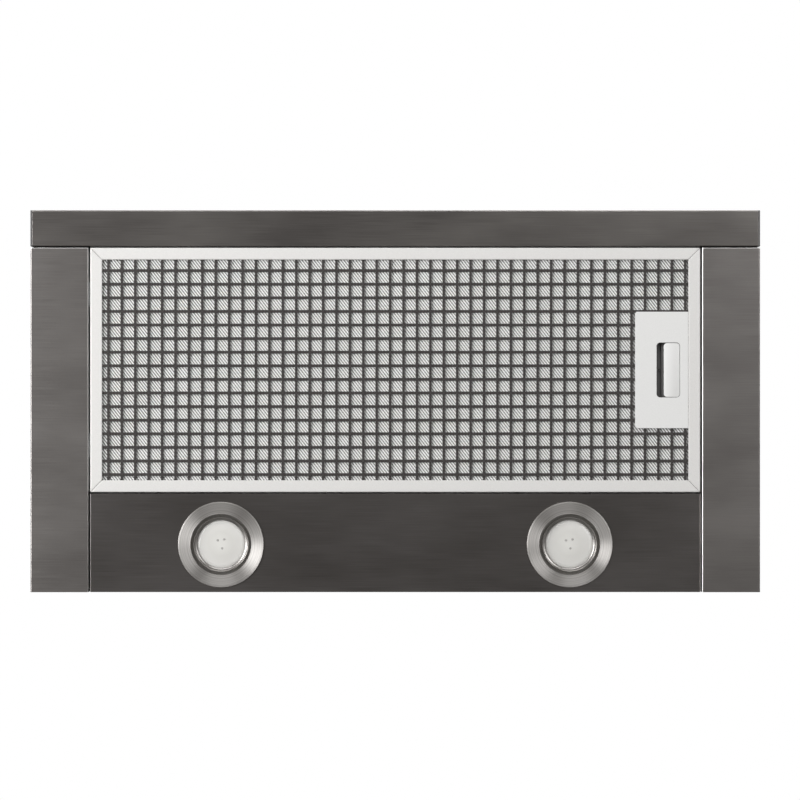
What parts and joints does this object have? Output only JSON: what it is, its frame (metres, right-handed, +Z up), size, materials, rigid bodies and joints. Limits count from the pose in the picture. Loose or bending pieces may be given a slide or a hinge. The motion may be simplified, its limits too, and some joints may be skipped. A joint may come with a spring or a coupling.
{
  "type": "under cabinet range hood",
  "caption": "Slide-out under cabinet hood with a hinged grease filter and its latch, twin recessed lamps, drawer with push buttons, blower and duct spigot with damper flaps.",
  "frame": {"origin": "centre of the footprint on the hood's underside", "axes": "+X to the right along the fascia as seen from the front, -Y is the front, +Y the wall, +Z up"},
  "size_m": [0.598, 0.313, 0.213],
  "materials": {
    "brushed_steel": "brushed stainless steel",
    "galvanised": "zinc-coated sheet",
    "bezel": "turned stainless steel",
    "lamp_glass": "frosted glass front",
    "ceramic": "glazed ceramic",
    "grey_plastic": "fine-grained moulded ABS",
    "white_plastic": "moulded ABS",
    "spring_steel": "bright steel",
    "mesh": "expanded aluminium mesh",
    "grille": "punched aluminium sheet",
    "frame": "bright rolled aluminium",
    "zinc": "bright zinc plate",
    "visor_glass": "clear toughened glass",
    "nylon": "moulded nylon",
    "black_plastic": "moulded polypropylene",
    "motor_steel": "black enamel on steel",
    "copper_iron": "laminated iron and copper winding",
    "capacitor_can": "drawn aluminium can"
  },
  "bodies": {
    "hood": {"cable_gland": "black_plastic", "damper_pins": "spring_steel", "drawer_microswitch": "black_plastic", "drawer_rails": "zinc", "duct_spigot": "black_plastic", "front_glides": "nylon", "gland_nut": "black_plastic", "housing": "galvanised", "inlet_rings": "galvanised", "lamp_bezel_left": "bezel", "lamp_bezel_right": "bezel", "lamp_bulbs": "lamp_glass", "lamp_holders": "ceramic", "lamp_panel": "brushed_steel", "lamp_rings": "bezel", "motor_bearings": "spring_steel", "motor_bracket": "motor_steel", "motor_can": "motor_steel", "motor_cover": "motor_steel", "motor_stator": "copper_iron", "run_capacitor": "capacitor_can", "scroll_left": "galvanised", "scroll_right": "galvanised", "side_channel_left": "brushed_steel", "side_channel_right": "brushed_steel", "terminal_block": "nylon", "terminal_box": "grey_plastic", "terminal_lid": "grey_plastic", "top_plate_screws": "zinc"},
    "drawer": {"fascia": "brushed_steel", "fascia_caps": "grey_plastic", "drawer_arm_left": "zinc", "drawer_arm_right": "zinc", "drawer_arm_screws": "zinc", "visor": "visor_glass", "visor_clips": "zinc", "rear_glides": "nylon", "switch_block": "black_plastic"},
    "filter": {"filter_frame_front": "frame", "filter_frame_rear": "frame", "filter_frame_left": "frame", "filter_frame_right": "frame", "filter_grille": "grille", "filter_back_grille": "grille", "filter_mesh": "mesh", "filter_hinge_tabs": "zinc", "latch_plate": "white_plastic", "latch_cup": "grey_plastic", "latch_spring": "spring_steel"},
    "latch": {"latch_slider": "white_plastic"},
    "wheel": {"blower_wheel": "black_plastic", "motor_shaft": "spring_steel", "motor_rotor": "copper_iron"},
    "flap_front": {"damper_flap_front": "black_plastic"},
    "flap_rear": {"damper_flap_rear": "black_plastic"},
    "button_off": {"button_off": "grey_plastic"},
    "button_low": {"button_low": "grey_plastic"},
    "button_medium": {"button_medium": "grey_plastic"},
    "button_high": {"button_high": "grey_plastic"},
    "button_light": {"button_light": "grey_plastic"}
  },
  "joints": [
    {"name": "drawer_slide", "type": "slide", "parent": "hood", "child": "drawer", "axis": [0, -1, 0], "range_m": [0, 0.16]},
    {"name": "filter_hinge", "type": "hinge", "parent": "hood", "child": "filter", "pos_m": [-0.2511, -0.0256, 0.001], "axis": [0, 1, 0], "range_deg": [0, 80]},
    {"name": "latch_slide", "type": "slide", "parent": "filter", "child": "latch", "axis": [-1, 0, 0], "range_m": [0, 0.0058], "stiffness_N_per_m": 400, "springref_m": -0.004, "deforming": ["latch_spring"]},
    {"name": "wheel_spin", "type": "hinge", "parent": "hood", "child": "wheel", "pos_m": [0, 0.031, 0.09], "axis": [1, 0, 0], "continuous": true},
    {"name": "flap_front_hinge", "type": "hinge", "parent": "hood", "child": "flap_front", "pos_m": [0, 0.004, 0.194], "axis": [-1, 0, 0], "range_deg": [0, 75]},
    {"name": "flap_rear_hinge", "type": "hinge", "parent": "hood", "child": "flap_rear", "pos_m": [0, 0.014, 0.194], "axis": [1, 0, 0], "range_deg": [0, 75]},
    {"name": "button_off_press", "type": "slide", "parent": "drawer", "child": "button_off", "axis": [0, 1, 0], "range_m": [0, 0.003], "stiffness_N_per_m": 500, "springref_m": -0.001},
    {"name": "button_low_press", "type": "slide", "parent": "drawer", "child": "button_low", "axis": [0, 1, 0], "range_m": [0, 0.003], "stiffness_N_per_m": 500, "springref_m": -0.001},
    {"name": "button_medium_press", "type": "slide", "parent": "drawer", "child": "button_medium", "axis": [0, 1, 0], "range_m": [0, 0.003], "stiffness_N_per_m": 500, "springref_m": -0.001},
    {"name": "button_high_press", "type": "slide", "parent": "drawer", "child": "button_high", "axis": [0, 1, 0], "range_m": [0, 0.003], "stiffness_N_per_m": 500, "springref_m": -0.001},
    {"name": "button_light_press", "type": "slide", "parent": "drawer", "child": "button_light", "axis": [0, 1, 0], "range_m": [0, 0.003], "stiffness_N_per_m": 500, "springref_m": -0.001}
  ]
}
